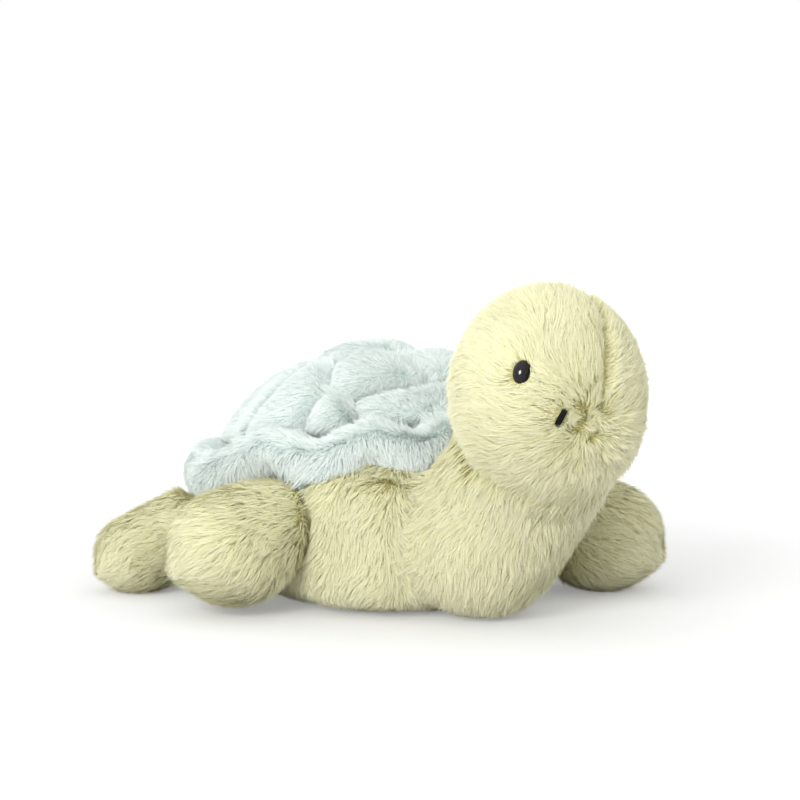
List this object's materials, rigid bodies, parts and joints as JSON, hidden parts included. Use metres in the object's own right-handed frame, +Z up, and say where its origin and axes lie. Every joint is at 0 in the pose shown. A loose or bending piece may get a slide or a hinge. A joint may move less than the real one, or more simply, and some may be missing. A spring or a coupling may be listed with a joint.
{
  "type": "plush turtle",
  "caption": "Stuffed toy turtle that lies on its belly: quilted domed shell with a wavy padded rim, plump neck, round head with bead eyes, and swinging feet.",
  "frame": {"origin": "on the floor under the middle of the body's flat underside", "axes": "+Z up, the turtle faces -Y, +X is its own left side"},
  "size_m": [0.2814, 0.3077, 0.1635],
  "materials": {
    "green_plush": "pale yellow-green long-pile plush",
    "aqua_plush": "pale aqua long-pile plush",
    "black_plastic": "polished black bead",
    "white_plastic": "plain moulded",
    "black_thread": "satin-stitched black thread"
  },
  "bodies": {
    "trunk": {"body": "green_plush", "shell_rim": "aqua_plush", "shell_padding": "aqua_plush", "scute_crown": "aqua_plush", "scute_brow": "aqua_plush", "scute_tail": "aqua_plush", "scute_front_right": "aqua_plush", "scute_front_left": "aqua_plush", "scute_side_right": "aqua_plush", "scute_side_left": "aqua_plush", "scute_haunch_right": "aqua_plush", "scute_haunch_left": "aqua_plush", "scute_rear_right": "aqua_plush", "scute_rear_left": "aqua_plush", "scute_shoulder_right": "aqua_plush", "scute_shoulder_left": "aqua_plush"},
    "neck": {"neck": "green_plush"},
    "head": {"head": "green_plush", "eye_right": "black_plastic", "eye_left": "black_plastic", "eye_washer_right": "white_plastic", "eye_washer_left": "white_plastic", "nostril_right": "black_thread", "nostril_left": "black_thread"},
    "front_right_foot": {"front_right_foot": "green_plush"},
    "front_left_foot": {"front_left_foot": "green_plush"},
    "rear_right_foot": {"rear_right_foot": "green_plush"},
    "rear_left_foot": {"rear_left_foot": "green_plush"}
  },
  "joints": [
    {"name": "neck_lean", "type": "hinge", "parent": "trunk", "child": "neck", "pos_m": [0.003, -0.097, 0.0415], "axis": [1, 0, 0], "range_deg": [-4, 12], "stiffness_Nm_per_rad": 2},
    {"name": "head_turn", "type": "hinge", "parent": "neck", "child": "head", "pos_m": [0.014, -0.137, 0.1175], "axis": [-0.0505, -0.2777, 0.9593], "range_deg": [-30, 30], "stiffness_Nm_per_rad": 0.1},
    {"name": "front_right_foot_swing", "type": "hinge", "parent": "trunk", "child": "front_right_foot", "pos_m": [-0.07662, -0.03737, 0], "axis": [0, 0, 1], "range_deg": [-6, 8], "stiffness_Nm_per_rad": 0.05},
    {"name": "front_left_foot_swing", "type": "hinge", "parent": "trunk", "child": "front_left_foot", "pos_m": [0.07662, -0.03737, 0], "axis": [0, 0, 1], "range_deg": [-6, 12], "stiffness_Nm_per_rad": 0.05},
    {"name": "rear_right_foot_swing", "type": "hinge", "parent": "trunk", "child": "rear_right_foot", "pos_m": [-0.07623, 0.04053, 0], "axis": [0, 0, 1], "range_deg": [-12, 12], "stiffness_Nm_per_rad": 0.05},
    {"name": "rear_left_foot_swing", "type": "hinge", "parent": "trunk", "child": "rear_left_foot", "pos_m": [0.07623, 0.04053, 0], "axis": [0, 0, 1], "range_deg": [-12, 12], "stiffness_Nm_per_rad": 0.05}
  ]
}
